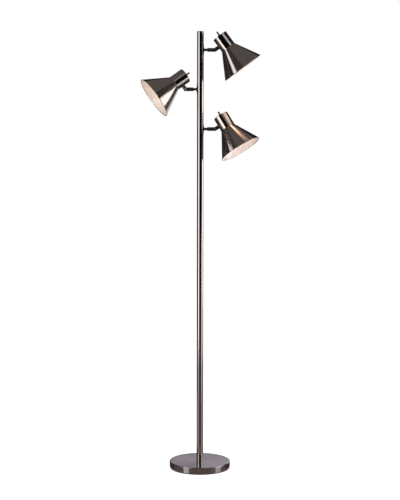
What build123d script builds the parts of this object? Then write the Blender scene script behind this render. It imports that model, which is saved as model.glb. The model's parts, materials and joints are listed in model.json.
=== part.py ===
from build123d import *

import os
from math import cos, pi, radians, sin, sqrt

# Tree floor lamp in millimetres. It stands on z = 0 with its pole on the z axis. Two arms point along +x
# and one along -x, and the cord inlet is at the back, along +y.

# Whole lamp
lamp_height = 1681.0
overcut = 1.0  # how far a cut runs past the metal

# Base
base_diameter = 235.0
base_height = 27.0
cover_sheet = 1.2
cover_edge_radius = 2.5
pad_thickness = 3.5
pad_inset = 2.0
weight_side_clearance = 0.3
weight_web = 7.0  # iron above the nut recess
nut_recess_radius = 22.0
washer_radius = 15.0
washer_thickness = 2.0
base_nut_across_flats = 16.0
base_nut_height = 5.0
nipple_show = 0.5  # thread past the base nut
hole_clearance = 0.3

# Cord inlet and leads
cord_radius = 3.0
inlet_height = 10.0
bushing_wall = 1.1
bushing_lip = 1.5
bushing_lip_thickness = 1.5
bushing_room = 1.0
cord_clearance = 0.2
channel_side_room = 1.5
channel_height = 11.0
lead_gap = 0.3
lead_straight = 5.0
lead_ramp = 20.0
lead_ramp_radius = 30.0
lead_bend_radius = 6.0
splice_radius = 6.0
splice_edge_radius = 1.0
splice_gap = 1.5
branch_radius = 1.6
branch_bend_radius = 9.0
branch_run = 6.0
branch_shift_radius = 50.0
branch_shift_length = 30.0

# Pole
pole_diameter = 25.4
pole_wall = 1.0
first_section_length = 404.5
middle_section_count = 2
tube_edge_chamfer = 0.4
cap_thickness = 2.5
cap_edge_radius = 1.0
cap_plug_length = 8.0
bush_length = 14.0
bush_setback = 0.2
bush_engagement = 12.0
nipple_radius = 5.0
nipple_bore_clearance = 0.5

# Places of the arms, down from the top of the lamp
upper_arm_drop = 70.0
middle_arm_drop = 218.0
lower_arm_drop = 368.0
lower_arm_to_joint = 51.0

# How the heads stand: the link's angle above level, and the turn of the arm about its own axis
upper_tilt = 36.3
middle_tilt = 52.8
lower_tilt = 30.6
upper_swivel = 0.0
middle_swivel = 20.0
lower_swivel = -13.2
tilt_travel = 70.0

# Arm, outwards from the pole
saddle_height = 38.5
saddle_half_width = 9.5
saddle_edge_thickness = 0.5
saddle_middle_thickness = 1.4
boss_root_radius = 7.0
boss_top_radius = 5.4
boss_height = 2.3
neck_radius = 4.75
neck_length = 9.6
thread_radius = 4.0
wire_bore_radius = 2.5
arm_nut_across_flats = 10.5
arm_nut_height = 4.0
nut_seat_clearance = 0.2
swivel_washer_thickness = 0.7
swivel_gap = 0.05
running_clearance = 0.05
barrel_radius = 7.25
barrel_chamber_radius = 6.3
barrel_end_wall = 3.0
barrel_to_pin = 28.8
barrel_edge_chamfer = 0.4
knuckle_length = 12.1
knuckle_spigot = 5.5

# Knuckle
lap_gap = 0.1
shoulder_clearance = 0.3
chamber_inner_radius = 2.9
chamber_outer_radius = 5.2
chamber_depth = 2.2
pin_radius = 2.0
screw_head_radius = 3.5
screw_head_height = 2.0
screw_head_recess = 0.35
screw_head_clearance = 0.3
screw_end_setback = 1.0
screw_socket_radius = 1.3
screw_socket_depth = 1.2

# Head, along its own axis from the flat back face
head_diameter = 58.0
head_cylinder_length = 55.0
rim_diameter = 166.0
shade_length = 151.0
shade_sheet = 0.8
rim_bead_radius = 1.1
back_edge_radius = 1.4
neck_bend_radius = 3.0
link_seat = 33.5  # link's centre from the back face
pin_to_side = 16.0
link_spigot = 7.0
link_nut_across_flats = 13.0
link_nut_height = 4.0

# Switch
switch_radius = 17.0
switch_length = 16.0
switch_bush_radius = 4.75
switch_bush_show = 3.4
back_hole_clearance = 0.5
switch_nut_radius = 6.5
switch_nut_height = 2.2
knob_radius = 2.8
knob_tip_radius = 2.5
knob_length = 16.5
knob_gap = 0.4
knob_flute_radius = 0.45
knob_flute_count = 8
stem_radius = 2.0
stem_depth = 10.0

# Socket and bulb
socket_radius = 18.0
socket_length = 37.0
socket_bore_radius = 14.4
socket_floor = 6.5
shell_sheet = 0.6
shell_lift = 1.5
shell_length = 25.0
contact_radius = 6.0
contact_sheet = 0.8
contact_button_radius = 3.0
contact_button_height = 2.0
bulb_thread_radius = 13.0
bulb_thread_depth = 0.7
bulb_thread_pitch = 3.63
bulb_thread_count = 5
bulb_tip_radius = 4.2
bulb_tip_height = 1.2
bulb_insulator_height = 3.4
bulb_collar_height = 3.0
bulb_cap_sheet = 0.6
bulb_glass_wall = 0.8
bulb_glass_seat = 15.0
bulb_neck_height = 4.0
bulb_radius = 29.5
bulb_equator = 48.0  # from the collar to the widest part


# Derived sizes
base_radius = base_diameter / 2
weight_radius = base_radius - cover_sheet - weight_side_clearance
weight_top = base_height - cover_sheet
recess_ceiling = weight_top - weight_web
washer_bottom = recess_ceiling - washer_thickness
base_nut_bottom = washer_bottom - base_nut_height
nipple_bottom = base_nut_bottom - nipple_show
nipple_length = base_height + bush_engagement - nipple_bottom
nipple_bore_radius = cord_radius + nipple_bore_clearance

bushing_bore_radius = cord_radius + cord_clearance
bushing_radius = bushing_bore_radius + bushing_wall
bushing_lip_radius = bushing_radius + bushing_lip
cover_inside = sqrt((base_radius - cover_sheet) ** 2 - bushing_lip_radius**2)
bushing_inner_face = cover_inside - running_clearance
bushing_inner_end = bushing_inner_face - bushing_lip_thickness
bushing_outer_end = base_radius + bushing_lip_thickness
lead_level = pad_thickness + cord_radius + lap_gap
lead_start = bushing_inner_end - lead_gap
ramp_start = lead_start - lead_straight

pole_radius = pole_diameter / 2
pole_inner_radius = pole_radius - pole_wall
pole_top = lamp_height - cap_thickness
upper_arm_height = lamp_height - upper_arm_drop
middle_arm_height = lamp_height - middle_arm_drop
lower_arm_height = lamp_height - lower_arm_drop
top_joint = lower_arm_height - lower_arm_to_joint
first_joint = base_height + first_section_length
middle_section_length = (top_joint - first_joint) / middle_section_count
joints = [first_joint + middle_section_length * i for i in range(middle_section_count + 1)]

splice_bottom = top_joint + nipple_length / 2 + splice_gap
splice_top = lower_arm_height - branch_bend_radius - branch_run
branch_offset = 2 * branch_radius
branch_side = 2 * branch_radius + 2 * cord_clearance
branch_aside = branch_radius + cord_clearance

arm_nut_corner = arm_nut_across_flats / sqrt(3)
arm_nut_seat = sqrt(pole_inner_radius**2 - arm_nut_corner**2) - nut_seat_clearance
neck_inner_end = arm_nut_seat - arm_nut_height - nipple_show
boss_face = pole_radius + saddle_middle_thickness + boss_height
neck_shoulder = boss_face + neck_length
barrel_start = neck_shoulder + swivel_washer_thickness + 2 * swivel_gap
pin_distance = barrel_start + barrel_to_pin
barrel_end = pin_distance - knuckle_length
barrel_nut_start = barrel_start + barrel_end_wall + nut_seat_clearance
neck_outer_end = barrel_nut_start + arm_nut_height + nipple_show
arm_hole_radius = thread_radius + nut_seat_clearance

shoulder_radius = barrel_radius / sin(radians(180 - tilt_travel) / 2) + shoulder_clearance
screw_seat = barrel_radius - screw_head_recess - screw_head_height
chamber_middle = (chamber_inner_radius + chamber_outer_radius) / 2
branch_end = pin_distance - barrel_radius - shoulder_clearance

head_radius = head_diameter / 2
head_inner_radius = head_radius - shade_sheet
rim_radius = rim_diameter / 2
pin_to_axis = pin_to_side + head_radius
link_nut_half_flat = link_nut_across_flats / 2
link_nut_seat = sqrt(head_inner_radius**2 - link_nut_half_flat**2) - nut_seat_clearance

switch_bottom = shade_sheet
socket_bottom = switch_bottom + switch_length
socket_floor_top = socket_bottom + socket_floor
shell_radius = socket_bore_radius - cord_clearance
contact_top = socket_floor_top + contact_sheet + contact_button_height
bulb_tip = contact_top + swivel_gap
bulb_shoulder = bulb_tip + bulb_tip_height
bulb_thread_start = bulb_shoulder + bulb_insulator_height
bulb_thread_end = bulb_thread_start + bulb_thread_count * bulb_thread_pitch
bulb_collar_top = bulb_thread_end + bulb_collar_height
bulb_root_radius = bulb_thread_radius - bulb_thread_depth
bulb_neck_radius = bulb_root_radius - bulb_cap_sheet - running_clearance
bulb_centre = bulb_collar_top + bulb_equator

os.makedirs("parts", exist_ok=True)


def save(piece, name):
    piece.part.label = name
    export_step(piece.part, f"parts/{name}.step")


# Planes taken from a frame: square to its x axis, square to its y axis, and the one that holds x and z


def across(frame, distance):
    return Plane(frame.origin + frame.x_dir * distance, x_dir=frame.y_dir, z_dir=frame.x_dir)


def beside(frame, distance):
    return Plane(frame.origin + frame.y_dir * distance, x_dir=frame.x_dir, z_dir=frame.y_dir)


def side_of(frame):
    return Plane(frame.origin, x_dir=frame.x_dir, z_dir=-frame.y_dir)


# Work on the open part: a round rod or tube from a plane, a hexagon nut, and a turned outline


def rod(plane, radius, length, bore=0.0, mode=Mode.ADD):
    with BuildSketch(plane) as end:
        Circle(radius)
        if bore:
            Circle(bore, mode=Mode.SUBTRACT)
    extrude(end.sketch, amount=length, mode=mode)


def hexagon(plane, across_flats, height, bore):
    with BuildSketch(plane) as end:
        RegularPolygon(across_flats / 2, 6, major_radius=False)
        Circle(bore, mode=Mode.SUBTRACT)
    extrude(end.sketch, amount=height)


def turn(plane, direction, *points, mode=Mode.ADD):
    with BuildSketch(plane) as outline:
        with BuildLine():
            Polyline(*points, close=True)
        make_face()
    revolve(outline.sketch, axis=Axis(plane.origin, direction), mode=mode)


# Frames of the arms: x points outwards, z is up before the arm is turned about x


def arm_frame(height, way, swivel=0.0):
    out = Vector(way, 0, 0)
    up = Vector(0, 0, 1)
    side = up.cross(out)
    turned_up = up * cos(radians(swivel)) - side * sin(radians(swivel))
    return Plane((0, 0, height), x_dir=out, z_dir=turned_up)


# Frame of one knuckle half: its origin is on the pin, x runs along its rod and y to its own side


def link_frame(arm, tilt):
    along = arm.x_dir * cos(radians(tilt)) + arm.z_dir * sin(radians(tilt))
    pin = arm.origin + arm.x_dir * pin_distance
    return Plane(pin, x_dir=along, z_dir=along.cross(arm.y_dir))


def knuckle_frame(arm):
    return Plane(arm.origin + arm.x_dir * pin_distance, x_dir=-arm.x_dir, z_dir=arm.z_dir)


# Frame of a head: its origin is on the flat back face, z runs to the rim and x away from the pin


def head_frame(link):
    back = link.origin + link.x_dir * pin_to_axis + link.z_dir * link_seat
    return Plane(back, x_dir=link.x_dir, z_dir=-link.z_dir)


arm_places = {
    "upper": (upper_arm_height, 1, upper_swivel, upper_tilt),
    "middle": (middle_arm_height, -1, middle_swivel, middle_tilt),
    "lower": (lower_arm_height, 1, lower_swivel, lower_tilt),
}
upright_arms = {name: arm_frame(place[0], place[1]) for name, place in arm_places.items()}


# Base

with BuildPart() as base_pad:
    rod(Plane.XY, base_radius - pad_inset, pad_thickness)
save(base_pad, "base_pad")

inlet_side = Plane((0, 0, inlet_height), x_dir=(0, 1, 0), z_dir=(1, 0, 0))
inlet_inside = Plane((0, 0, inlet_height), x_dir=(1, 0, 0), z_dir=(0, 1, 0))

with BuildPart() as base_cover:
    rod(Plane.XY.offset(pad_thickness), base_radius, base_height - pad_thickness)
    fillet(base_cover.faces().sort_by(Axis.Z)[-1].edges(), cover_edge_radius)
    offset(amount=-cover_sheet, openings=base_cover.faces().sort_by(Axis.Z)[0])
    rod(Plane.XY, nipple_radius + hole_clearance, base_height + overcut, mode=Mode.SUBTRACT)
    rod(inlet_inside, bushing_radius + running_clearance, base_radius + overcut, mode=Mode.SUBTRACT)
save(base_cover, "base_cover")

channel_width = 2 * (cord_radius + channel_side_room)
pocket_width = 2 * (bushing_lip_radius + bushing_room)
pocket_length = weight_radius - bushing_inner_end + bushing_room
pocket_top = inlet_height + bushing_lip_radius + bushing_room

with BuildPart() as base_weight:
    rod(Plane.XY.offset(pad_thickness), weight_radius, weight_top - pad_thickness)
    fillet(base_weight.faces().sort_by(Axis.Z)[-1].edges(), cover_edge_radius)
    rod(Plane.XY, nut_recess_radius, recess_ceiling, mode=Mode.SUBTRACT)
    rod(Plane.XY, nipple_radius + hole_clearance, base_height, mode=Mode.SUBTRACT)
    with BuildSketch(Plane.XY) as channel:
        with Locations((0, weight_radius / 2)):
            Rectangle(channel_width, weight_radius)
    extrude(channel.sketch, amount=pad_thickness + channel_height, mode=Mode.SUBTRACT)
    with BuildSketch(Plane.XY) as pocket:
        with Locations((0, weight_radius - pocket_length / 2)):
            Rectangle(pocket_width, pocket_length)
    extrude(pocket.sketch, amount=pocket_top, mode=Mode.SUBTRACT)
save(base_weight, "base_weight")

with BuildPart() as base_washer:
    rod(Plane.XY.offset(washer_bottom), washer_radius, washer_thickness, nipple_radius + hole_clearance)
save(base_washer, "base_washer")

with BuildPart() as base_lock_nut:
    hexagon(Plane.XY.offset(base_nut_bottom), base_nut_across_flats, base_nut_height, nipple_radius)
save(base_lock_nut, "base_lock_nut")

with BuildPart() as cord_bushing:
    turn(
        inlet_side,
        (0, 1, 0),
        (bushing_inner_end, bushing_bore_radius),
        (bushing_outer_end, bushing_bore_radius),
        (bushing_outer_end, bushing_lip_radius),
        (base_radius, bushing_lip_radius),
        (base_radius, bushing_radius),
        (bushing_inner_face, bushing_radius),
        (bushing_inner_face, bushing_lip_radius),
        (bushing_inner_end, bushing_lip_radius),
    )
save(cord_bushing, "cord_bushing")


# Pole

section_ends = [base_height] + joints + [pole_top]
for number, (low, high) in enumerate(zip(section_ends, section_ends[1:]), start=1):
    with BuildPart() as pole_section:
        rod(Plane.XY.offset(low), pole_radius, high - low, pole_inner_radius)
        rims = pole_section.edges().filter_by(GeomType.CIRCLE)
        outer_rims = [rim for rim in rims if rim.radius > pole_radius - pole_wall / 2]
        chamfer(outer_rims, tube_edge_chamfer)
        for arm in upright_arms.values():
            if low < arm.origin.Z < high:
                rod(across(arm, 0), arm_hole_radius, pole_radius + overcut, mode=Mode.SUBTRACT)
    save(pole_section, f"pole_section_{number}")

with BuildPart() as pole_end_bushes:
    for low_end in [base_height] + joints:
        rod(Plane.XY.offset(low_end + bush_setback), pole_inner_radius, bush_length, nipple_radius)
    for high_end in joints:
        bush_bottom = Plane.XY.offset(high_end - bush_setback - bush_length)
        rod(bush_bottom, pole_inner_radius, bush_length, nipple_radius)
save(pole_end_bushes, "pole_end_bushes")

with BuildPart() as pole_nipples:
    for bottom in [nipple_bottom] + [joint - nipple_length / 2 for joint in joints]:
        rod(Plane.XY.offset(bottom), nipple_radius, nipple_length, nipple_bore_radius)
save(pole_nipples, "pole_nipples")

with BuildPart() as pole_cap:
    rod(Plane.XY.offset(pole_top), pole_radius, cap_thickness)
    fillet(pole_cap.faces().sort_by(Axis.Z)[-1].edges(), cap_edge_radius)
    rod(Plane.XY.offset(pole_top - cap_plug_length), pole_inner_radius, cap_plug_length)
save(pole_cap, "pole_cap")


# Leads inside the base, the pole and the arms


def lead(radius, points, radii):
    with BuildLine() as route:
        FilletPolyline(*points, radius=radii)
    path = route.wire()
    with BuildSketch(Plane(path @ 0, z_dir=path % 0)) as section:
        Circle(radius)
    sweep(section.sketch, path=path)
    return path.length * pi * radius**2


with BuildPart() as supply_lead:
    supply_volume = lead(
        cord_radius,
        [
            (0, lead_start, inlet_height),
            (0, ramp_start, inlet_height),
            (0, ramp_start - lead_ramp, lead_level),
            (0, 0, lead_level),
            (0, 0, splice_bottom),
        ],
        [lead_ramp_radius, lead_ramp_radius, lead_bend_radius],
    )
save(supply_lead, "supply_lead")
print("supply lead volume over section times length:", supply_lead.part.volume / supply_volume)

with BuildPart() as splice_sleeve:
    rod(Plane.XY.offset(splice_bottom), splice_radius, splice_top - splice_bottom)
    fillet(splice_sleeve.edges().filter_by(GeomType.CIRCLE), splice_edge_radius)
save(splice_sleeve, "splice_sleeve")

branch_starts = {
    "upper": (branch_aside, -branch_side),
    "middle": (branch_aside, branch_side),
}

with BuildPart() as branch_leads:
    branch_volume = 0.0
    for name, (height, way, swivel, tilt) in arm_places.items():
        rise = -way * branch_offset
        route_points = [(rise, 0, height), (way * branch_end, 0, height)]
        route_radii = [branch_bend_radius]
        if name in branch_starts:
            start_x, start_y = branch_starts[name]
            shift_top = height - branch_bend_radius - branch_shift_length
            shift_low = shift_top - branch_shift_length
            route_points.insert(0, (rise, 0, shift_top))
            route_points.insert(0, (start_x, start_y, shift_low))
            route_points.insert(0, (start_x, start_y, splice_top))
            route_radii = [branch_shift_radius, branch_shift_radius, branch_bend_radius]
        else:
            route_points.insert(0, (rise, 0, splice_top))
        branch_volume += lead(branch_radius, route_points, route_radii)
save(branch_leads, "branch_leads")
print("branch leads volume over section times length:", branch_leads.part.volume / branch_volume)


# Fixed pieces of the arms


def saddle(arm):
    half = saddle_height / 2
    edge = pole_radius + saddle_edge_thickness
    middle = pole_radius + saddle_middle_thickness
    with BuildPart() as plate:
        with BuildSketch(side_of(arm)) as dome:
            with BuildLine():
                ThreePointArc((edge, -half), (middle, 0), (edge, half))
                Polyline((edge, half), (pole_radius, half), (pole_radius, -half), (edge, -half))
            make_face()
        revolve(dome.sketch, axis=Axis(arm.origin, arm.z_dir))
        with BuildSketch(across(arm, 0)) as oval:
            Ellipse(saddle_half_width, half)
        extrude(oval.sketch, amount=2 * pole_radius, mode=Mode.INTERSECT)
        turn(
            side_of(arm),
            arm.x_dir,
            (pole_radius - overcut, 0),
            (pole_radius - overcut, boss_root_radius),
            (middle, boss_root_radius),
            (boss_face, boss_top_radius),
            (boss_face, 0),
        )
        rod(arm.offset(-saddle_height), pole_radius, 2 * saddle_height, mode=Mode.SUBTRACT)
        rod(across(arm, 0), arm_hole_radius, boss_face + overcut, mode=Mode.SUBTRACT)
    return plate.part


with BuildPart() as arm_saddles:
    for arm in upright_arms.values():
        add(saddle(arm))
save(arm_saddles, "arm_saddles")

with BuildPart() as arm_necks:
    for arm in upright_arms.values():
        turn(
            side_of(arm),
            arm.x_dir,
            (neck_inner_end, wire_bore_radius),
            (neck_inner_end, thread_radius),
            (boss_face, thread_radius),
            (boss_face, neck_radius),
            (neck_shoulder, neck_radius),
            (neck_shoulder, thread_radius),
            (neck_outer_end, thread_radius),
            (neck_outer_end, wire_bore_radius),
        )
save(arm_necks, "arm_necks")

with BuildPart() as arm_lock_nuts:
    for arm in upright_arms.values():
        for nut_start in (arm_nut_seat - arm_nut_height, barrel_nut_start):
            hexagon(across(arm, nut_start), arm_nut_across_flats, arm_nut_height, thread_radius)
save(arm_lock_nuts, "arm_lock_nuts")

with BuildPart() as swivel_washers:
    for arm in upright_arms.values():
        washer_start = across(arm, neck_shoulder + swivel_gap)
        rod(washer_start, barrel_radius - swivel_gap, swivel_washer_thickness, thread_radius)
save(swivel_washers, "swivel_washers")


# Knuckle halves


def half_lap(frame, length):
    with BuildSketch(side_of(frame)) as outline:
        Circle(barrel_radius)
        with Locations((length / 2, 0)):
            Rectangle(length, 2 * barrel_radius)
    rod(across(frame, -barrel_radius), barrel_radius, length + barrel_radius)
    extrude(outline.sketch, amount=2 * barrel_radius, both=True, mode=Mode.INTERSECT)
    rod(beside(frame, lap_gap), shoulder_radius, -2 * barrel_radius, mode=Mode.SUBTRACT)
    chamber_bottom = chamber_depth + lap_gap
    rod(beside(frame, 0), chamber_outer_radius, chamber_bottom, chamber_inner_radius, Mode.SUBTRACT)


for name, (height, way, swivel, tilt) in arm_places.items():
    arm = arm_frame(height, way, swivel)
    arm_side = side_of(arm)

    with BuildPart() as barrel:
        turn(
            arm_side,
            arm.x_dir,
            (barrel_start, thread_radius + running_clearance),
            (barrel_start, barrel_radius - barrel_edge_chamfer),
            (barrel_start + barrel_edge_chamfer, barrel_radius),
            (barrel_end, barrel_radius),
            (barrel_end, barrel_chamber_radius),
            (barrel_start + barrel_end_wall, barrel_chamber_radius),
            (barrel_start + barrel_end_wall, thread_radius + running_clearance),
        )
    save(barrel, f"barrel_{name}")

    own = knuckle_frame(arm)
    with BuildPart() as knuckle:
        half_lap(own, knuckle_length)
        rod(across(own, knuckle_length), barrel_chamber_radius, knuckle_spigot)
        bore_length = knuckle_length + knuckle_spigot
        rod(across(own, chamber_middle), wire_bore_radius, bore_length, mode=Mode.SUBTRACT)
        rod(beside(own, 0), pin_radius, barrel_radius, mode=Mode.SUBTRACT)
    save(knuckle, f"knuckle_{name}")

    link_place = link_frame(arm, tilt)
    pin_side = Plane(link_place.origin, x_dir=arm.x_dir, z_dir=arm.z_dir)
    with BuildPart() as pivot_screw:
        turn(
            pin_side,
            arm.y_dir,
            (0, screw_end_setback - barrel_radius),
            (pin_radius, screw_end_setback - barrel_radius),
            (pin_radius, screw_seat),
            (screw_head_radius, screw_seat),
            (screw_head_radius, screw_seat + screw_head_height),
            (0, screw_seat + screw_head_height),
        )
        hex_start = beside(link_place, screw_seat + screw_head_height)
        with BuildSketch(hex_start) as driver:
            RegularPolygon(screw_socket_radius, 6, major_radius=False)
        extrude(driver.sketch, amount=-screw_socket_depth, mode=Mode.SUBTRACT)
    save(pivot_screw, f"pivot_screw_{name}")

    head = head_frame(link_place)
    head_side = side_of(head)
    pin_side_of_head = Plane(
        head.origin + head.z_dir * link_seat,
        x_dir=head.y_dir,
        z_dir=-head.x_dir,
    )

    with BuildPart() as link:
        half_lap(link_place, pin_to_axis)
        rod(head.offset(-shade_length), head_radius, 2 * shade_length, mode=Mode.SUBTRACT)
        rod(across(link_place, pin_to_side - overcut), thread_radius, link_spigot + overcut)
        rod(across(link_place, chamber_middle), wire_bore_radius, pin_to_axis, mode=Mode.SUBTRACT)
        hole_radius = pin_radius + running_clearance
        rod(beside(link_place, 0), hole_radius, barrel_radius, mode=Mode.SUBTRACT)
        counterbore = beside(link_place, screw_seat - swivel_gap)
        rod(counterbore, screw_head_radius + screw_head_clearance, barrel_radius, mode=Mode.SUBTRACT)
    save(link, f"link_{name}")

    # Head

    flare = (rim_radius - head_radius) / (shade_length - head_cylinder_length)
    slant = sqrt(1 + flare**2)
    inner_bend = head_cylinder_length + shade_sheet * (slant - 1) / flare
    bead_height = shade_length - rim_bead_radius
    bead_centre = rim_radius - rim_bead_radius
    sheet_end = head_radius + (bead_height - head_cylinder_length) * flare
    with BuildPart() as shade:
        with BuildSketch(head_side) as wall:
            with BuildLine():
                FilletPolyline(
                    (0, 0),
                    (head_radius, 0),
                    (head_radius, head_cylinder_length),
                    (sheet_end, bead_height),
                    radius=[back_edge_radius, neck_bend_radius],
                )
                Line((sheet_end, bead_height), (sheet_end - shade_sheet * slant, bead_height))
                FilletPolyline(
                    (sheet_end - shade_sheet * slant, bead_height),
                    (head_inner_radius, inner_bend),
                    (head_inner_radius, shade_sheet),
                    (0, shade_sheet),
                    radius=[neck_bend_radius + shade_sheet, back_edge_radius - shade_sheet],
                )
                Line((0, shade_sheet), (0, 0))
            make_face()
            with Locations((bead_centre, bead_height)):
                Circle(rim_bead_radius)
        revolve(wall.sketch, axis=Axis(head.origin, head.z_dir))
        back_hole_radius = switch_bush_radius + back_hole_clearance
        rod(head.offset(-overcut), back_hole_radius, 2 * overcut + shade_sheet, mode=Mode.SUBTRACT)
        rod(pin_side_of_head, arm_hole_radius, head_radius + overcut, mode=Mode.SUBTRACT)
    save(shade, f"shade_{name}")

    with BuildPart() as link_nut:
        nut_plane = Plane(
            pin_side_of_head.origin + pin_side_of_head.z_dir * link_nut_seat,
            x_dir=head.z_dir,
            z_dir=head.x_dir,
        )
        hexagon(nut_plane, link_nut_across_flats, link_nut_height, thread_radius)
    save(link_nut, f"link_nut_{name}")

    with BuildPart() as switch_body:
        rod(head.offset(switch_bottom), switch_radius, switch_length)
        rod(head.offset(-switch_bush_show), switch_bush_radius, switch_bush_show + switch_bottom)
        stem_bore = head.offset(-switch_bush_show)
        bore_depth = switch_bush_show + stem_depth + knob_gap
        rod(stem_bore, stem_radius + running_clearance, bore_depth, mode=Mode.SUBTRACT)
    save(switch_body, f"switch_body_{name}")

    with BuildPart() as switch_nut:
        rod(head, switch_nut_radius, -switch_nut_height, switch_bush_radius)
        nut_rims = switch_nut.edges().filter_by(GeomType.CIRCLE)
        outer_nut_rims = [rim for rim in nut_rims if rim.radius > switch_bush_radius + barrel_edge_chamfer]
        chamfer(outer_nut_rims, barrel_edge_chamfer)
    save(switch_nut, f"switch_nut_{name}")

    knob_start = -switch_bush_show - knob_gap
    with BuildPart() as switch_knob:
        turn(
            head_side,
            head.z_dir,
            (0, stem_depth),
            (stem_radius, stem_depth),
            (stem_radius, knob_start),
            (knob_radius, knob_start),
            (knob_tip_radius, -knob_length),
            (0, -knob_length),
        )
        tip = switch_knob.faces().sort_by(Axis(head.origin, head.z_dir))[0]
        fillet(tip.edges(), knob_flute_radius)
        with BuildSketch(head.offset(knob_start - stem_radius)) as flutes:
            with PolarLocations(knob_radius, knob_flute_count):
                Circle(knob_flute_radius)
        extrude(flutes.sketch, amount=-knob_length, mode=Mode.SUBTRACT)
    save(switch_knob, f"switch_knob_{name}")

    with BuildPart() as socket_body:
        rod(head.offset(socket_bottom), socket_radius, socket_length)
        socket_rims = socket_body.edges().filter_by(GeomType.CIRCLE)
        chamfer(socket_rims, barrel_edge_chamfer)
        socket_depth = socket_length - socket_floor
        rod(head.offset(socket_floor_top), socket_bore_radius, socket_depth, mode=Mode.SUBTRACT)
    save(socket_body, f"socket_body_{name}")

    with BuildPart() as socket_contacts:
        shell_start = head.offset(socket_floor_top + shell_lift)
        rod(shell_start, shell_radius, shell_length, shell_radius - shell_sheet)
        rod(head.offset(socket_floor_top), contact_radius, contact_sheet)
        button_height = contact_sheet + contact_button_height
        rod(head.offset(socket_floor_top), contact_button_radius, button_height)
    save(socket_contacts, f"socket_contacts_{name}")

    ridges = []
    for ridge in range(bulb_thread_count):
        ridge_start = bulb_thread_start + ridge * bulb_thread_pitch
        ridges.append((bulb_root_radius, ridge_start))
        ridges.append((bulb_thread_radius, ridge_start + bulb_thread_pitch / 2))
    cap_bore_radius = bulb_root_radius - bulb_cap_sheet
    glass_start = bulb_collar_top - bulb_glass_seat
    with BuildPart() as bulb_cap:
        turn(
            head_side,
            head.z_dir,
            (0, bulb_tip),
            (bulb_tip_radius, bulb_tip),
            (bulb_tip_radius, bulb_shoulder),
            *ridges,
            (bulb_root_radius, bulb_thread_end),
            (bulb_thread_radius, bulb_collar_top),
            (cap_bore_radius, bulb_collar_top),
            (cap_bore_radius, glass_start - swivel_gap),
            (0, glass_start - swivel_gap),
        )
    save(bulb_cap, f"bulb_cap_{name}")

    with BuildPart() as bulb_glass:
        with BuildSketch(head_side) as glass_wall:
            with BuildLine():
                neck_top = bulb_collar_top + bulb_neck_height
                crown = bulb_centre + bulb_radius
                inner_neck = bulb_neck_radius - bulb_glass_wall
                inner_globe = bulb_radius - bulb_glass_wall
                Line((bulb_neck_radius, glass_start), (bulb_neck_radius, neck_top))
                Spline(
                    (bulb_neck_radius, neck_top),
                    (bulb_radius, bulb_centre),
                    tangents=((0, 1), (0, 1)),
                )
                CenterArc((0, bulb_centre), bulb_radius, 0, 90)
                Line((0, crown), (0, crown - bulb_glass_wall))
                CenterArc((0, bulb_centre), inner_globe, 0, 90)
                Spline(
                    (inner_neck, neck_top),
                    (inner_globe, bulb_centre),
                    tangents=((0, 1), (0, 1)),
                )
                Line((inner_neck, glass_start), (inner_neck, neck_top))
                Line((inner_neck, glass_start), (bulb_neck_radius, glass_start))
            make_face()
        revolve(glass_wall.sketch, axis=Axis(head.origin, head.z_dir))
    save(bulb_glass, f"bulb_glass_{name}")
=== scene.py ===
import json
import math

import bpy
from mathutils import Matrix, Vector


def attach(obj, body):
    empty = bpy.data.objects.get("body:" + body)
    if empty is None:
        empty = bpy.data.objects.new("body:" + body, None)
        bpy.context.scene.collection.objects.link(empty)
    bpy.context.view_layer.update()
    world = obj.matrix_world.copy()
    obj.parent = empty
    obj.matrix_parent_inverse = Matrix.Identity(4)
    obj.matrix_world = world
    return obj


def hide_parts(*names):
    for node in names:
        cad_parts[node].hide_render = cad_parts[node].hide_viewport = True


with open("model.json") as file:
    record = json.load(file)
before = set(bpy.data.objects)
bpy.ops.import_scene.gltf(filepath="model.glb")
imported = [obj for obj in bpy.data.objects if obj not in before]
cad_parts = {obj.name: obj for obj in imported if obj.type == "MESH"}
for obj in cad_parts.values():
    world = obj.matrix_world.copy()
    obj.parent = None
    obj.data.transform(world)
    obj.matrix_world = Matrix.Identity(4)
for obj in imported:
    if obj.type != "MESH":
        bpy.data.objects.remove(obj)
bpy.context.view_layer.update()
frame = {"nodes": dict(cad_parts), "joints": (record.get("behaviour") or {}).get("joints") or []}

mm = 0.001
nodes = frame["nodes"]
joints = {joint["name"]: joint for joint in frame["joints"]}
headNames = ("upper", "middle", "lower")
print("frame loaded:", len(nodes), "CAD nodes")


def linearColour(text):  # sRGB hex to linear RGBA
    channels = [int(text[i:i + 2], 16) / 255 for i in (1, 3, 5)]
    return [c / 12.92 if c <= 0.04045 else ((c + 0.055) / 1.055) ** 2.4 for c in channels] + [1.0]


def addNode(tree, kind, settings=None, links=None):  # settings: {property or socket: value}, links: {socket: output}
    node = tree.nodes.new(kind)
    for name, value in (settings or {}).items():
        if isinstance(name, str) and hasattr(node, name):
            setattr(node, name, value)
        else:
            node.inputs[name].default_value = value
    for name, output in (links or {}).items():
        tree.links.new(output, node.inputs[name])
    return node


# Camera at the height and distance of the photograph: place in metres, angles in degrees, lens and sensor in mm
view = {
    "place": (-0.0004, -5.060, 1.353),
    "tiltDown": 5.67,
    "roll": 0.086,
    "lens": 95.4,
    "sensor": 36.0,
}
camera = bpy.data.objects.new("camera", bpy.data.cameras.new("camera"))
bpy.context.scene.collection.objects.link(camera)
camera.data.lens = view["lens"]
camera.data.sensor_width = view["sensor"]
turnUp = Matrix.Rotation(math.radians(90 - view["tiltDown"]), 4, "X")
camera.matrix_world = Matrix.Translation(view["place"]) @ turnUp @ Matrix.Rotation(math.radians(view["roll"]), 4, "Z")
bpy.context.scene.camera = camera
bpy.context.scene.view_settings.view_transform = "Standard"
print("camera set")

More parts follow.
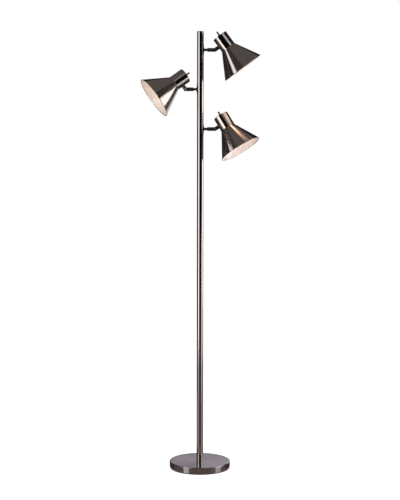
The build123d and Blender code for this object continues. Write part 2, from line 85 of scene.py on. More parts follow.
# Studio
studio = {
    "roomLight": 0.34,  # world strength on dull surfaces
    "floorColour": "#F4F4F4",
    "floorLift": (0.60, 0.71),  # glow that brings the lit paper to white, by the lamp and far away
    "liftReach": (0.5, 2.6),  # metres from the lamp
    "floorReach": 9.0,
    "lampAim": (0, 0, 1.1),
    "cardStep": 6,  # degrees to a face
}


def seenAsBackground(tree):  # 1 for camera, glossy and transmission rays
    path = addNode(tree, "ShaderNodeLightPath")
    both = addNode(tree, "ShaderNodeMath", {"operation": "MAXIMUM"},
                   {0: path.outputs["Is Camera Ray"], 1: path.outputs["Is Glossy Ray"]})
    return addNode(tree, "ShaderNodeMath", {"operation": "MAXIMUM"},
                   {0: both.outputs[0], 1: path.outputs["Is Transmission Ray"]}).outputs[0]


world = bpy.data.worlds.new("studio")
bpy.context.scene.world = world
world.use_nodes = True
tree = world.node_tree
tree.nodes.clear()
seen = seenAsBackground(tree)
strength = addNode(tree, "ShaderNodeMapRange", {"To Min": studio["roomLight"], "To Max": 1.0}, {"Value": seen})
sky = addNode(tree, "ShaderNodeBackground", {"Color": (1, 1, 1, 1)}, {"Strength": strength.outputs[0]})
addNode(tree, "ShaderNodeOutputWorld", links={"Surface": sky.outputs[0]})


def newMaterial(name):
    material = bpy.data.materials.new(name)
    material.use_nodes = True
    material.node_tree.nodes.clear()
    return material, material.node_tree


def meshObject(name, points, faces, material=None):
    mesh = bpy.data.meshes.new(name)
    mesh.from_pydata([tuple(p) for p in points], [], faces)
    obj = bpy.data.objects.new(name, mesh)
    bpy.context.scene.collection.objects.link(obj)
    if material:
        mesh.materials.append(material)
    return obj


# White paper sweep: matt, with no texture that shows at this distance, and plain white round the lamp's shadow
paper, tree = newMaterial("whitePaperSweep")
seen = seenAsBackground(tree)
place = addNode(tree, "ShaderNodeTexCoord").outputs["Object"]
away = addNode(tree, "ShaderNodeVectorMath", {"operation": "LENGTH"}, {0: place}).outputs["Value"]
(nearBy, farOff), (nearLift, farLift) = studio["liftReach"], studio["floorLift"]
rise = addNode(tree, "ShaderNodeMapRange", {"interpolation_type": "SMOOTHSTEP", "From Min": nearBy, "From Max": farOff,
                                            "To Min": nearLift, "To Max": farLift}, {"Value": away}).outputs[0]
lift = addNode(tree, "ShaderNodeMath", {"operation": "MULTIPLY"}, {0: seen, 1: rise})
glow = addNode(tree, "ShaderNodeEmission", {"Color": (1, 1, 1, 1)}, {"Strength": lift.outputs[0]})
dull = addNode(tree, "ShaderNodeBsdfDiffuse", {"Color": linearColour(studio["floorColour"])})
total = addNode(tree, "ShaderNodeAddShader", links={0: glow.outputs[0], 1: dull.outputs[0]})
addNode(tree, "ShaderNodeOutputMaterial", links={"Surface": total.outputs[0]})


def squareAt(reach, height):
    return [(x * reach, y * reach, height) for x, y in ((-1, -1), (1, -1), (1, 1), (-1, 1))]


floor = meshObject("floor", squareAt(studio["floorReach"], 0), [(0, 1, 2, 3)], paper)


# Cards and flags round the lamp, seen only in the metal. Angles are in degrees, 0 on the camera's side and positive
# to the right, and heights and distances are in metres.
usualCard = {"away": 2.4, "strength": 1.0}
cards = {
    "frontFlag": {"from": -36, "to": 44, "low": 0.002, "high": 2.9, "away": 2.6, "colour": "#141416"},
    "rightFlag": {"from": 44, "to": 69, "low": 0.7, "high": 2.2, "away": 2.6, "colour": "#141416"},
    "frontHigh": {"from": -16, "to": 34, "low": 2.95, "high": 4.3, "away": 2.6, "colour": "#B4B0B8"},
    "rightHigh": {"from": 34, "to": 66, "low": 2.6, "high": 3.4, "away": 2.5, "colour": "#FFFAF6", "strength": 1.3},
    "softboxWarm": {"from": -43, "to": -34, "low": 0.05, "high": 2.0, "colour": "#FFE0BC", "strength": 3.2},
    "softboxCore": {"from": -64, "to": -43, "low": 0.05, "high": 2.0, "colour": "#FFFFFF", "strength": 3.1},
    "softboxCool": {"from": -82, "to": -64, "low": 0.05, "high": 2.0, "colour": "#B8B8DC", "strength": 1.15},
    "leftHigh": {"from": -82, "to": -68, "low": 2.0, "high": 2.65, "colour": "#FFFFFF", "strength": 2.5},
    "leftHigher": {"from": -99, "to": -82, "low": 2.32, "high": 2.95, "away": 2.45, "colour": "#FFFFFF",
                   "strength": 1.8},
    "leftTopFlag": {"from": -82, "to": -16, "low": 2.0, "high": 4.35, "away": 2.62, "colour": "#58514E"},
    "leftBackFlag": {"from": -180, "to": -82, "low": 0.002, "high": 2.4, "away": 2.7, "colour": "#473F3C"},
    "leftBackHigh": {"from": -180, "to": -97, "low": 2.4, "high": 3.2, "away": 2.7, "colour": "#4A4442"},
    "rightSoftbox": {"from": 69, "to": 108, "low": 0.3, "high": 1.66, "colour": "#FFFCFE", "strength": 3.2},
    "rightLow": {"from": 44, "to": 88, "low": 0.002, "high": 0.7, "away": 2.3, "colour": "#FFF8FA", "strength": 1.6},
    "rightLean": {"from": 80, "to": 108, "low": 1.67, "high": 2.3, "colour": "#FFFFFF", "strength": 3.2},
    "rightTopFlag": {"from": 66, "to": 98, "low": 2.31, "high": 4.35, "away": 2.62, "colour": "#4E4744"},
    "rightGap": {"from": 108, "to": 137, "low": 0.002, "high": 2.35, "colour": "#6E6363"},
    "backHigh": {"from": 98, "to": 200, "low": 1.5, "high": 4.35, "away": 2.9, "colour": "#2A2422"},
    "backCard": {"from": 174, "to": 186, "low": 0.3, "high": 0.95, "away": 2.5, "colour": "#C2BAC2"},
}


def studioOnly(obj):  # a card lights nothing and throws no shadow: it shows in reflections alone
    obj.visible_camera = obj.visible_diffuse = obj.visible_shadow = False
    obj.visible_transmission = obj.visible_volume_scatter = False


def cardMaterial(name, colour, strength):
    material, tree = newMaterial(name)
    glow = addNode(tree, "ShaderNodeEmission", {"Color": linearColour(colour), "Strength": strength})
    addNode(tree, "ShaderNodeOutputMaterial", links={"Surface": glow.outputs[0]})
    material.cycles.emission_sampling = "NONE"  # the metal's own rays find the cards
    return material


def studioStrip(name, card, inner, outer):  # a strip between two rings, each (radius, height)
    steps = max(1, round((card["to"] - card["from"]) / studio["cardStep"]))
    points = []
    ends = (card["from"], card["to"])
    for i in range(steps + 1):
        for (r, z), (start, end) in ((inner, ends), (outer, card.get("outer", ends))):
            turn = math.radians(start + (end - start) * i / steps)
            points.append((r * math.sin(turn), -r * math.cos(turn), z))
    faces = [(2 * i, 2 * i + 2, 2 * i + 3, 2 * i + 1) for i in range(steps)]
    studioOnly(meshObject(name, points, faces, cardMaterial(name, card["colour"], card["strength"])))


for name, card in cards.items():
    card = dict(usualCard, **card)
    studioStrip(name, card, (card["away"], card["low"]), (card["away"], card["high"]))

# Ground seen in the metal, in three rings: close round the base, further out, and out to the cards.
# "outer" gives the far ring its own angles, so that a patch's edges stand upright in the base's side.
groundLevel = 0.0006  # just clear of the paper
grounds = {
    "nearBack": {"from": 62, "to": 298, "near": 0.125, "far": 0.35, "colour": "#4C4441", "outer": (100, 262)},
    "nearLeft": {"from": -62, "to": -33, "near": 0.125, "far": 0.35, "colour": "#7E6E66", "outer": (-98, -55)},
    "nearLeftPatch": {"from": -33, "to": -22, "near": 0.125, "far": 0.35, "colour": "#FFFAFC", "outer": (-55, -37)},
    "nearFront": {"from": -22, "to": 32, "near": 0.125, "far": 0.35, "colour": "#84746C", "outer": (-37, 54)},
    "nearRightPatch": {"from": 32, "to": 45, "near": 0.125, "far": 0.35, "colour": "#F4EAEA", "outer": (54, 74)},
    "nearRight": {"from": 45, "to": 62, "near": 0.125, "far": 0.35, "colour": "#7E6E66", "outer": (74, 100)},
    "midLeftBack": {"from": -180, "to": -95, "near": 0.35, "far": 1.35, "colour": "#5A524F"},
    "midLeft": {"from": -95, "to": -43, "near": 0.35, "far": 1.35, "colour": "#DACFD6"},
    "midFront": {"from": -43, "to": 0, "near": 0.35, "far": 1.35, "colour": "#78685F"},
    "midWedge": {"from": 0, "to": 50, "near": 0.35, "far": 1.35, "colour": "#66605F"},
    "midRight": {"from": 50, "to": 110, "near": 0.35, "far": 1.35, "colour": "#C9BDBB"},
    "midRightBack": {"from": 110, "to": 180, "near": 0.35, "far": 1.35, "colour": "#524A47"},
    "farLeftBack": {"from": -180, "to": -80, "near": 1.35, "far": 2.7, "colour": "#463E3B"},
    "farLeftCool": {"from": -80, "to": -62, "near": 1.35, "far": 2.4, "colour": "#B4B4DC"},
    "farLeft": {"from": -62, "to": -42, "near": 1.35, "far": 2.4, "colour": "#FFFFFF"},
    "farLeftWarm": {"from": -42, "to": -32, "near": 1.35, "far": 2.6, "colour": "#BDA78E"},
    "farFront": {"from": -32, "to": 8, "near": 1.35, "far": 2.6, "colour": "#5E5450"},
    "farWedge": {"from": 8, "to": 42, "near": 1.35, "far": 2.6, "colour": "#302C2B"},
    "farRight": {"from": 42, "to": 82, "near": 1.35, "far": 2.4, "colour": "#FFF8FA"},
    "farRightSide": {"from": 82, "to": 108, "near": 1.35, "far": 2.4, "colour": "#A89C9A"},
    "farRightBack": {"from": 108, "to": 162, "near": 1.35, "far": 2.9, "colour": "#463E3B"},
}
for name, ground in grounds.items():
    studioStrip(name, dict(usualCard, **ground), (ground["near"], groundLevel), (ground["far"], groundLevel))
# Warm light that the lower head's cylinder shows
bounce = {"from": 52, "to": 104, "near": 0.31, "far": 0.41, "height": 1.6, "colour": "#FFE0CA", "strength": 2.3}
studioStrip("warmBounce", bounce, (bounce["near"], bounce["height"]), (bounce["far"], bounce["height"]))
ceiling = {"reach": 4.4, "height": 4.4, "colour": "#7F7774"}
studioOnly(meshObject("ceiling", squareAt(ceiling["reach"], ceiling["height"]), [(0, 1, 2, 3)],
                      cardMaterial("ceiling", ceiling["colour"], usualCard["strength"])))

lamps = {  # soft light on paint, plastic and paper; hidden from reflections, which the cards shape
    "keyLeft": {"place": (-2.2, -2.4, 2.2), "size": 1.4, "power": 22, "colour": "#FFF8F0"},
    "fillRight": {"place": (2.4, -1.4, 0.7), "size": 1.2, "power": 24, "colour": "#F8F4FF"},
    "top": {"place": (0.2, -0.4, 3.4), "size": 2.2, "power": 31, "colour": "#FFFFFF"},
}
for name, lamp in lamps.items():
    light = bpy.data.lights.new(name, "AREA")
    light.shape = "SQUARE"
    light.size = lamp["size"]
    light.energy = lamp["power"]
    light.color = linearColour(lamp["colour"])[:3]
    obj = bpy.data.objects.new(name, light)
    bpy.context.scene.collection.objects.link(obj)
    obj.location = lamp["place"]
    ray = Vector(studio["lampAim"]) - Vector(lamp["place"])
    obj.rotation_euler = ray.to_track_quat("-Z", "Y").to_euler()
    obj.visible_glossy = False
    obj.visible_transmission = False
print("studio set")


# Materials
def principled(tree, settings, links=None):
    shader = addNode(tree, "ShaderNodeBsdfPrincipled", settings, links)
    addNode(tree, "ShaderNodeOutputMaterial", links={"Surface": shader.outputs[0]})
    return shader


def turnedPlace(tree, attribute=None):  # (x, y, radius + height) of a piece turned about z, and its plain place
    if attribute:
        place = addNode(tree, "ShaderNodeAttribute", {"attribute_name": attribute}).outputs["Vector"]
    else:
        place = addNode(tree, "ShaderNodeTexCoord").outputs["Object"]
    parts = addNode(tree, "ShaderNodeSeparateXYZ", links={0: place})
    flat = addNode(tree, "ShaderNodeCombineXYZ", links={0: parts.outputs[0], 1: parts.outputs[1]})
    radius = addNode(tree, "ShaderNodeVectorMath", {"operation": "LENGTH"}, {0: flat.outputs[0]})
    along = addNode(tree, "ShaderNodeMath", {"operation": "ADD"}, {0: radius.outputs["Value"], 1: parts.outputs[2]})
    return addNode(tree, "ShaderNodeCombineXYZ",
                   links={0: parts.outputs[0], 1: parts.outputs[1], 2: along.outputs[0]}).outputs[0], place


def stretched(tree, place, length, width):  # brushing lines, sized in metres: length round the piece, width along it
    scaled = addNode(tree, "ShaderNodeVectorMath", {"operation": "MULTIPLY", 1: (1 / length, 1 / length, 1 / width)},
                     {0: place})
    return addNode(tree, "ShaderNodeTexNoise", {"Scale": 1.0, "Detail": 2.0, "Roughness": 0.6},
                   {"Vector": scaled.outputs[0]}).outputs["Fac"]


noiseSpan = (0.25, 0.75)  # where nearly all of a noise texture's values lie


def spread(tree, value, low, high):  # a noise pattern to low..high
    return addNode(tree, "ShaderNodeMapRange", {"From Min": noiseSpan[0], "From Max": noiseSpan[1],
                                                "To Min": low, "To Max": high}, {"Value": value}).outputs[0]


def mixed(tree, value, first, second):
    mix = addNode(tree, "ShaderNodeMix", {"data_type": "RGBA"})
    mix.inputs[6].default_value = linearColour(first)  # inputs 6 and 7 are the node's two colours
    mix.inputs[7].default_value = linearColour(second)
    tree.links.new(value, mix.inputs[0])
    return mix.outputs[2]


cloudShare = 0.25  # how much of a brushed metal's pattern is cloud, the rest being brushing lines


def brushedSteel(name, look, attribute=None, axis="Z", uvMap=None):
    material, tree = newMaterial(name)
    place, plain = turnedPlace(tree, attribute)
    grain = stretched(tree, place, look["grainLength"] * mm, look["grainWidth"] * mm)
    cloud = addNode(tree, "ShaderNodeTexNoise", {"Scale": 1 / (look["cloudSize"] * mm), "Detail": 2.0},
                    {"Vector": plain}).outputs["Fac"]
    clouded = addNode(tree, "ShaderNodeMath", {"operation": "MULTIPLY", 1: cloudShare}, {0: cloud}).outputs[0]
    blend = addNode(tree, "ShaderNodeMath", {"operation": "MULTIPLY_ADD", 1: 1 - cloudShare},
                    {0: grain, 2: clouded}).outputs[0]
    colour = mixed(tree, spread(tree, blend, 0.0, 1.0), look["dark"], look["light"])
    rough = spread(tree, blend, *look["roughness"])
    bump = addNode(tree, "ShaderNodeBump", {"Strength": look["bump"], "Distance": look["depth"] * mm},
                   {"Height": grain})
    if uvMap:  # the map's u runs along the wall, so the shine needs no quarter turn
        tangent = addNode(tree, "ShaderNodeTangent", {"direction_type": "UV_MAP", "uv_map": uvMap})
    else:
        tangent = addNode(tree, "ShaderNodeTangent", {"direction_type": "RADIAL", "axis": axis})
    principled(tree, {"Metallic": 1.0, "Anisotropic": look["anisotropy"],
                      "Anisotropic Rotation": 0.0 if uvMap else 0.25},
               {"Base Color": colour, "Roughness": rough, "Normal": bump.outputs[0], "Tangent": tangent.outputs[0]})
    return material


# Real brushing lines are about 0.05 mm wide. All are drawn several times coarser here, as coarse as they need to show.
# Brushed nickel on steel tube, ground round the tube: clean-edged bands along the pole, no sparkle
poleLook = {"dark": "#9C9794", "light": "#ABA6A3", "grainLength": 25.0, "grainWidth": 0.35, "cloudSize": 60.0,
            "roughness": (0.07, 0.10), "bump": 0.03, "depth": 0.02, "anisotropy": 0.9}
# The same nickel on spun sheet: fine rings round the axis, a little coarser than the tube's
shadeLook = {"dark": "#979290", "light": "#A8A3A0", "grainLength": 20.0, "grainWidth": 0.5, "cloudSize": 45.0,
             "roughness": (0.09, 0.13), "bump": 0.05, "depth": 0.02, "anisotropy": 0.9}
# The same nickel on the spun base cover: broader rings and a softer, duller shine than the tube's
coverLook = {"dark": "#959093", "light": "#A39EA1", "grainLength": 18.0, "grainWidth": 0.6, "cloudSize": 50.0,
             "roughness": (0.14, 0.20), "bump": 0.05, "depth": 0.03, "anisotropy": 0.8}
# Darker nickel on the small turned arm pieces: fine lathe rings and a satin shine with no clear reflections
armLook = {"dark": "#5A5553", "light": "#6B6663", "grainLength": 8.0, "grainWidth": 0.4, "cloudSize": 12.0,
           "roughness": (0.26, 0.36), "bump": 0.1, "depth": 0.02, "anisotropy": 0.4}
poleNickel = brushedSteel("brushedNickelTube", poleLook)
shadeNickel = brushedSteel("brushedNickelSpun", shadeLook, attribute="turned", uvMap="UVMap")
coverNickel = brushedSteel("brushedNickelCover", coverLook)
armNickel = brushedSteel("darkNickelTurned", armLook, axis="X")


def grainy(name, look):  # paint, plastic, rubber and plain metals: cloud in the colour, fine texture in the relief
    material, tree = newMaterial(name)
    place = addNode(tree, "ShaderNodeTexCoord").outputs["Object"]
    grain = addNode(tree, "ShaderNodeTexNoise", {"Scale": 1 / (look["grain"] * mm), "Detail": 4.0}, {"Vector": place})
    cloud = addNode(tree, "ShaderNodeTexNoise", {"Scale": 1 / (look["cloud"] * mm), "Detail": 3.0}, {"Vector": place})
    colour = mixed(tree, spread(tree, cloud.outputs["Fac"], 0.0, 1.0), look["dark"], look["light"])
    rough = spread(tree, grain.outputs["Fac"], *look["roughness"])
    bump = addNode(tree, "ShaderNodeBump", {"Strength": look["bump"], "Distance": look["depth"] * mm},
                   {"Height": grain.outputs["Fac"]})
    principled(tree, look["fixed"], {"Base Color": colour, "Roughness": rough, "Normal": bump.outputs[0]})
    return material


plainLooks = {  # grain, cloud and depth in mm; grains finer than about half a millimetre are drawn that coarse, to show
    # stove enamel sprayed on steel: smooth, faint orange peel, warm white
    "whiteStoveEnamel": {"dark": "#F0ECE9", "light": "#F8F5F2", "grain": 2.5, "cloud": 60.0, "roughness": (0.30, 0.38),
                         "bump": 0.08, "depth": 0.05,
                         "fixed": {"IOR": 1.5, "Coat Weight": 0.3, "Coat Roughness": 0.15}},
    # black oxide on turned steel: near black, with a soft oily shine
    "blackOxideSteel": {"dark": "#222121", "light": "#2F2D2C", "grain": 0.8, "cloud": 10.0, "roughness": (0.30, 0.40),
                        "bump": 0.08, "depth": 0.02, "fixed": {"Metallic": 1.0}},
    # black nickel on turned steel: dark, still a metal shine
    "blackNickel": {"dark": "#2A2827", "light": "#383534", "grain": 0.8, "cloud": 10.0, "roughness": (0.28, 0.38),
                    "bump": 0.08, "depth": 0.02, "fixed": {"Metallic": 1.0}},
    # zinc on steel screws and nuts: pale, patchy, slightly blue
    "zincPlatedSteel": {"dark": "#A4A8AC", "light": "#BCC0C4", "grain": 0.6, "cloud": 4.0, "roughness": (0.30, 0.45),
                        "bump": 0.1, "depth": 0.02, "fixed": {"Metallic": 1.0}},
    # grey cast iron: rough sand skin with dull spots
    "sandCastIron": {"dark": "#3B3A3A", "light": "#504E4C", "grain": 1.2, "cloud": 14.0, "roughness": (0.55, 0.75),
                     "bump": 0.5, "depth": 0.3, "fixed": {"Metallic": 0.6}},
    # die-cut foam rubber pad: dull black with open pores
    "foamRubber": {"dark": "#131313", "light": "#1E1E1D", "grain": 0.9, "cloud": 8.0, "roughness": (0.80, 0.92),
                   "bump": 0.5, "depth": 0.2, "fixed": {"IOR": 1.52}},
    # moulded ABS: fine spark-eroded texture, soft shine
    "mouldedBlackAbs": {"dark": "#0E0E0F", "light": "#161617", "grain": 0.5, "cloud": 9.0, "roughness": (0.38, 0.50),
                        "bump": 0.2, "depth": 0.03, "fixed": {"IOR": 1.53}},
    # phenolic moulding: hard, glossier, brown-black
    "mouldedPhenolic": {"dark": "#16110E", "light": "#211A16", "grain": 0.7, "cloud": 12.0, "roughness": (0.28, 0.40),
                        "bump": 0.1, "depth": 0.03, "fixed": {"IOR": 1.6}},
    # stamped brass: yellow, light tarnish in clouds
    "stampedBrass": {"dark": "#B08D45", "light": "#D8B566", "grain": 0.8, "cloud": 5.0, "roughness": (0.25, 0.40),
                     "bump": 0.1, "depth": 0.02, "fixed": {"Metallic": 1.0}},
    # drawn aluminium cap: bright and slightly matt
    "drawnAluminium": {"dark": "#C6C8CA", "light": "#DADCDD", "grain": 0.6, "cloud": 6.0, "roughness": (0.28, 0.38),
                       "bump": 0.1, "depth": 0.02, "fixed": {"Metallic": 1.0}},
    # PVC lead sheath: extruded, matt black
    "extrudedPvc": {"dark": "#121212", "light": "#1C1C1B", "grain": 1.0, "cloud": 15.0, "roughness": (0.45, 0.58),
                    "bump": 0.12, "depth": 0.03, "fixed": {"IOR": 1.53}},
    # etched glass of the bulb: milky, and softly lit from within, because the lamp is on
    "etchedGlass": {"dark": "#F2F0EC", "light": "#FBFAF7", "grain": 0.4, "cloud": 20.0, "roughness": (0.45, 0.60),
                    "bump": 0.1, "depth": 0.02,
                    "fixed": {"IOR": 1.5, "Emission Color": linearColour("#FFE0BC"), "Emission Strength": 4.2}},
}
plain = {name: grainy(name, look) for name, look in plainLooks.items()}
plain["etchedGlass"].cycles.emission_sampling = "NONE"  # the metal's own rays find the lit bulb


def enamelWithPaintedGlow(look, glow):  # the enamel with a painted glow for its bulb's light: warm and bright by the neck, fading before the rim
    material = grainy("whiteStoveEnamelPaintedGlow", look)
    tree = material.node_tree
    shader = next(node for node in tree.nodes if node.type == "BSDF_PRINCIPLED")
    place = addNode(tree, "ShaderNodeAttribute", {"attribute_name": "turned"}).outputs["Vector"]
    height = addNode(tree, "ShaderNodeSeparateXYZ", links={0: place}).outputs[2]
    # painted light: a warm emission colour, strongest by the neck and gone before the rim
    fade = addNode(tree, "ShaderNodeMapRange", {"interpolation_type": "SMOOTHSTEP", "From Min": glow["end"] * mm,
                                                "From Max": glow["start"] * mm}, {"Value": height}).outputs[0]
    tree.links.new(mixed(tree, fade, "#000000", glow["colour"]), shader.inputs["Emission Color"])
    shader.inputs["Emission Strength"].default_value = glow["strength"]
    material.cycles.emission_sampling = "NONE"
    return material


# Painted bulb light on the shade's enamel. Heights in mm from the head's flat back
paintedBulbGlow = {"start": 60.0, "end": 122.0, "colour": "#FFB47A", "strength": 1.8}
shadeEnamelPaintedGlow = enamelWithPaintedGlow(plainLooks["whiteStoveEnamel"], paintedBulbGlow)
print("materials made:", len(bpy.data.materials))

finishes = {  # by the record's material slots
    "cover_steel": coverNickel, "pole_steel": poleNickel, "shade_steel": shadeNickel, "arm_steel": armNickel,
    "weight_iron": plain["sandCastIron"], "zinc_steel": plain["zincPlatedSteel"], "pad": plain["foamRubber"],
    "black_plastic": plain["mouldedBlackAbs"], "socket_plastic": plain["mouldedPhenolic"],
    "knob_plastic": plain["mouldedBlackAbs"], "black_nut": plain["blackOxideSteel"],
    "lead_sheath": plain["extrudedPvc"], "brass": plain["stampedBrass"],
    "bulb_cap": plain["drawnAluminium"], "bulb_glass": plain["etchedGlass"],
}
for obj in nodes.values():
    for slot in obj.material_slots:
        slot.material = finishes[slot.material.name.split(".")[0]]
nodes["arm_necks"].material_slots[0].material = plain["blackNickel"]
for name in headNames:
    nodes["bulb_glass_" + name].visible_diffuse = False  # the enamel's own glow stands for the bulb's light on it
print("CAD nodes painted:", len(nodes))


# Turned pieces: one tree turns a wall outline about its axis, adds ribs round it and puts the piece in its place
turning = {
    "rail": 1.0,  # metres: radius of the circle that the outline runs along, taken off the outline's own radii
    "weld": 0.02,  # mm: doubles nearer than this are merged
    "lined": 0.4,  # a face gets the inside finish when at least this much of it is marked
    "ribFaces": 8,
}


def turningTree():
    tree = bpy.data.node_groups.new("turnedPiece", "GeometryNodeTree")
    for name, kind in (("Outline", "Geometry"), ("Sides", "Int"), ("Ribs", "Int"), ("Rib Circle", "Float"),
                       ("Rib Radius", "Float"), ("Rib Length", "Float"), ("Rib Start", "Float"), ("Place", "Vector"),
                       ("Turn", "Rotation"), ("Outside", "Material"), ("Inside", "Material")):
        tree.interface.new_socket(name, in_out="INPUT", socket_type="NodeSocket" + kind)
    tree.interface.new_socket("Piece", in_out="OUTPUT", socket_type="NodeSocketGeometry")
    given = addNode(tree, "NodeGroupInput").outputs
    # the outline and the rail, each with its own way along kept for the UV map
    outline = addNode(tree, "GeometryNodeMeshToCurve", links={"Mesh": given["Outline"]})
    wayAlong = addNode(tree, "GeometryNodeSplineParameter")
    caughtWall = addNode(tree, "GeometryNodeCaptureAttribute", links={"Geometry": outline.outputs[0]})
    caughtWall.capture_items.new("FLOAT", "wall")
    tree.links.new(wayAlong.outputs["Length"], caughtWall.inputs["wall"])
    rail = addNode(tree, "GeometryNodeCurvePrimitiveCircle", {"Radius": turning["rail"]},
                   {"Resolution": given["Sides"]})
    upright = addNode(tree, "GeometryNodeSetCurveNormal", {"mode": "Z_UP"}, {"Curve": rail.outputs[0]})
    wayRound = addNode(tree, "GeometryNodeSplineParameter")
    caughtTurn = addNode(tree, "GeometryNodeCaptureAttribute", links={"Geometry": upright.outputs[0]})
    caughtTurn.capture_items.new("FLOAT", "turn")
    tree.links.new(wayRound.outputs["Factor"], caughtTurn.inputs["turn"])
    # the turned wall, faces outwards and closed
    wall = addNode(tree, "GeometryNodeCurveToMesh", links={"Curve": caughtTurn.outputs[0],
                                                           "Profile Curve": caughtWall.outputs[0]})
    outward = addNode(tree, "GeometryNodeFlipFaces", links={"Mesh": wall.outputs[0]})
    unrolled = addNode(tree, "ShaderNodeCombineXYZ",
                       links={0: caughtWall.outputs["wall"], 1: caughtTurn.outputs["turn"]})
    mapped = addNode(tree, "GeometryNodeStoreNamedAttribute",
                     {"data_type": "FLOAT2", "domain": "CORNER", "Name": "UVMap"},
                     {"Geometry": outward.outputs[0], "Value": unrolled.outputs[0]})
    closed = addNode(tree, "GeometryNodeMergeByDistance", {"Distance": turning["weld"] * mm},
                     {"Geometry": mapped.outputs[0]})
    smooth = addNode(tree, "GeometryNodeSetShadeSmooth", {"Shade Smooth": True}, {"Geometry": closed.outputs[0]})
    marked = addNode(tree, "GeometryNodeInputNamedAttribute", {"data_type": "FLOAT", "Name": "inside"})
    inner = addNode(tree, "FunctionNodeCompare",
                    {"data_type": "FLOAT", "operation": "GREATER_THAN", "B": turning["lined"]},
                    {"A": marked.outputs["Attribute"]})
    outer = addNode(tree, "GeometryNodeSetMaterial", links={"Geometry": smooth.outputs[0],
                                                            "Material": given["Outside"]})
    lined = addNode(tree, "GeometryNodeSetMaterial", links={"Geometry": outer.outputs[0],
                                                            "Selection": inner.outputs[0],
                                                            "Material": given["Inside"]})
    # ribs: thin round bars on a circle, sunk into the turned body
    ring = addNode(tree, "GeometryNodeMeshCircle", links={"Vertices": given["Ribs"], "Radius": given["Rib Circle"]})
    bar = addNode(tree, "GeometryNodeMeshCylinder", {"Vertices": turning["ribFaces"]},
                  {"Radius": given["Rib Radius"], "Depth": given["Rib Length"]})
    ribs = addNode(tree, "GeometryNodeInstanceOnPoints", links={"Points": ring.outputs[0], "Instance": bar.outputs[0]})
    middle = addNode(tree, "ShaderNodeMath", {"operation": "MULTIPLY_ADD", 1: 0.5},
                     {0: given["Rib Length"], 2: given["Rib Start"]})
    ribPlace = addNode(tree, "ShaderNodeCombineXYZ", links={2: middle.outputs[0]})
    moved = addNode(tree, "GeometryNodeTransform", links={"Geometry": ribs.outputs[0],
                                                          "Translation": ribPlace.outputs[0]})
    ribFinish = addNode(tree, "GeometryNodeSetMaterial", links={"Geometry": moved.outputs[0],
                                                                "Material": given["Outside"]})
    joined = addNode(tree, "GeometryNodeJoinGeometry", links={0: lined.outputs[0]})
    tree.links.new(ribFinish.outputs[0], joined.inputs[0])
    real = addNode(tree, "GeometryNodeRealizeInstances", links={0: joined.outputs[0]})
    # the place before the piece is put on the lamp is kept, because the grain follows it
    here = addNode(tree, "GeometryNodeInputPosition")
    kept = addNode(tree, "GeometryNodeStoreNamedAttribute",
                   {"data_type": "FLOAT_VECTOR", "domain": "POINT", "Name": "turned"},
                   {"Geometry": real.outputs[0], "Value": here.outputs[0]})
    put = addNode(tree, "GeometryNodeTransform", links={"Geometry": kept.outputs[0], "Translation": given["Place"],
                                                        "Rotation": given["Turn"]})
    addNode(tree, "NodeGroupOutput", links={0: put.outputs[0]})
    return tree


turnedPiece = turningTree()
# Outline points, in mm: a bend is drawn in steps, and a held point beside it keeps the flat wall's shading flat
walling = {"bendSteps": 6, "hold": 0.4, "room": 0.5, "longWall": 5.0}


def roundedWall(corners):  # corners: (radius, height, bend radius, inside) in mm; a bead's points have bend -1
    hold, steps = walling["hold"], walling["bendSteps"]
    points = []
    for i, (r, h, bend, inside) in enumerate(corners):
        here = Vector((r, h))
        back = Vector(corners[i - 1][:2]) - here
        on = Vector(corners[(i + 1) % len(corners)][:2]) - here
        backWay, onWay = back.normalized(), on.normalized()
        if bend < 0:  # held only where a long wall meets the bead
            if back.length > walling["longWall"]:
                points.append((here + backWay * hold, inside))
            points.append((here, inside))
            if on.length > walling["longWall"]:
                points.append((here + onWay * hold, 1))
            continue
        halfAngle = back.angle(on) / 2
        cut = bend / math.tan(halfAngle)
        needed = 2 * (cut + hold) + walling["room"]
        if back.length > needed:
            points.append((here + backWay * (cut + hold), inside))
        if bend > 0:
            centre = here + (backWay + onWay).normalized() * bend / math.sin(halfAngle)
            first = here + backWay * cut - centre
            swing = first.angle_signed(here + onWay * cut - centre)
            for j in range(steps + 1):
                points.append((centre + Matrix.Rotation(-swing * j / steps, 2) @ first, inside))
        else:
            points.append((here, inside))
        if on.length > needed:
            points.append((here + onWay * (cut + hold), inside))
    return points


def turnPiece(name, corners, sizes, place, turn, outside, inside=None):
    wall = roundedWall(corners)
    solid = corners[0][0] == 0  # no bore: the outline is open and runs from the axis back to the axis
    if solid:
        wall = wall[1:-1]
    count = len(wall)
    edges = [(i, (i + 1) % count) for i in range(count - solid)]
    mesh = bpy.data.meshes.new(name + "Outline")
    mesh.from_pydata([(p.x * mm - turning["rail"], -p.y * mm, 0) for p, side in wall], edges, [])
    mesh.attributes.new("inside", "FLOAT", "POINT").data.foreach_set("value", [float(side) for p, side in wall])
    obj = bpy.data.objects.new(name + "Outline", mesh)
    bpy.context.scene.collection.objects.link(obj)
    modifier = obj.modifiers.new("turned", "NODES")
    modifier.node_group = turnedPiece
    sockets = {item.name: item.identifier for item in turnedPiece.interface.items_tree if item.in_out == "INPUT"}
    values = dict(sizes, Place=place, Turn=turn, Outside=outside, Inside=inside or outside)
    for label, value in values.items():
        modifier[sockets[label]] = value
    evaluated = obj.evaluated_get(bpy.context.evaluated_depsgraph_get())
    turned = bpy.data.meshes.new_from_object(evaluated)
    bpy.data.objects.remove(obj)
    turned.name = name
    for i in reversed(range(len(turned.materials))):  # the outline's own empty slot goes
        if turned.materials[i] is None:
            turned.materials.pop(index=i)
    piece = bpy.data.objects.new(name, turned)
    bpy.context.scene.collection.objects.link(piece)
    return piece


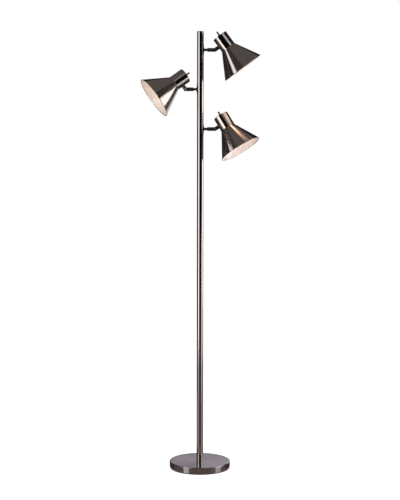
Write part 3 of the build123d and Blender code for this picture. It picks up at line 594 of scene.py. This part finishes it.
def headPlace(name):  # the head's own frame: origin on the flat back, z to the rim, x away from the pin
    back = Vector(joints["switch_" + name]["pos_m"])
    pin = Vector(joints["tilt_" + name]["pos_m"])
    z = -Vector(joints["switch_" + name]["axis"]).normalized()
    x = (back - pin) - (back - pin).project(z)
    x.normalize()
    y = z.cross(x)
    return back, Matrix((x, y, z)).transposed()


# Shade: spun steel, a cylinder and a cone with a rolled rim, in mm from the flat back
shade = {
    "radius": 29.0, "cylinder": 55.0, "rim": 83.0, "length": 151.0, "sheet": 0.8, "backHole": 5.25,
    "backBend": 1.4, "innerBackBend": 0.6, "neckBend": 3.0,
    "bead": 1.1, "beadFrom": -97, "beadSweep": 318, "beadSteps": 18,  # degrees round the rolled rim
    "sides": 144,
}


def shadeWall():
    s = shade
    beadHeight, beadCentre = s["length"] - s["bead"], s["rim"] - s["bead"]
    flare = (s["rim"] - s["radius"]) / (s["length"] - s["cylinder"])
    slant = math.hypot(1, flare)
    innerRadius = s["radius"] - s["sheet"]
    innerBend = s["cylinder"] + s["sheet"] * (slant - 1) / flare
    corners = [(s["backHole"], 0, 0, 0), (s["radius"], 0, s["backBend"], 0),
               (s["radius"], s["cylinder"], s["neckBend"], 0)]
    for i in range(s["beadSteps"] + 1):  # from the outer wall round to the inner one
        angle = math.radians(s["beadFrom"] + s["beadSweep"] * i / s["beadSteps"])
        corners.append((beadCentre + s["bead"] * math.cos(angle), beadHeight + s["bead"] * math.sin(angle), -1, 0))
    corners += [(innerRadius, innerBend, s["neckBend"] + s["sheet"], 1),
                (innerRadius, s["sheet"], s["innerBackBend"], 1), (s["backHole"], s["sheet"], 0, 1)]
    return corners


for name in headNames:
    place, turn = headPlace(name)
    piece = turnPiece("spunShade_" + name, shadeWall(), {"Sides": shade["sides"]}, place, turn.to_euler(),
                      shadeNickel, shadeEnamelPaintedGlow)
    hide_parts("shade_" + name)
    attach(piece, "head_" + name)
print("shades turned")

# Ring nut round the switch bush, in mm from the flat back: turned, with a straight knurl
ringNut = {
    "radius": 6.2, "bore": 4.75, "height": 2.2, "edge": 0.3, "boreEdge": 0.15, "sides": 80,
    "ribs": 40, "ribCircle": 6.2, "ribRadius": 0.36, "ribStart": -1.95, "ribLength": 1.7,
}
# Switch knob, in mm from the flat back: a slim tapered cap with fine ribs for the fingers, on its stem
knob = {
    "start": -3.8, "tip": -18.0, "tipRadius": 2.7, "skirtRadius": 2.95, "tipEdge": 0.8, "skirtEdge": 0.3,
    "stem": 2.0, "stemEnd": 10.0, "stemEdge": 0.2, "sides": 64,
    "ribs": 18, "ribCircle": 2.8, "ribRadius": 0.36, "ribStart": -16.6, "ribLength": 11.6,
}


def ringNutWall():
    n = ringNut
    return [(n["bore"], -n["height"], n["boreEdge"], 0), (n["radius"], -n["height"], n["edge"], 0),
            (n["radius"], 0, n["edge"], 0), (n["bore"], 0, n["boreEdge"], 0)]


def knobWall():
    k = knob
    return [(0, k["tip"], 0, 0), (k["tipRadius"], k["tip"], k["tipEdge"], 0),
            (k["skirtRadius"], k["start"], k["skirtEdge"], 0), (k["stem"], k["start"], 0, 0),
            (k["stem"], k["stemEnd"], k["stemEdge"], 0), (0, k["stemEnd"], 0, 0)]


def ribbedSizes(look):
    return {"Sides": look["sides"], "Ribs": look["ribs"], "Rib Circle": look["ribCircle"] * mm,
            "Rib Radius": look["ribRadius"] * mm, "Rib Length": look["ribLength"] * mm,
            "Rib Start": look["ribStart"] * mm}


for name in headNames:
    place, turn = headPlace(name)
    nut = turnPiece("knurledRingNut_" + name, ringNutWall(), ribbedSizes(ringNut), place, turn.to_euler(),
                    plain["blackOxideSteel"])
    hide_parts("switch_nut_" + name)
    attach(nut, "head_" + name)
    cap = turnPiece("ribbedKnob_" + name, knobWall(), ribbedSizes(knob), place, turn.to_euler(),
                    plain["mouldedBlackAbs"])
    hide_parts("switch_knob_" + name)
    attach(cap, "knob_" + name)
print("ring nuts and knobs turned")

bpy.context.view_layer.update()
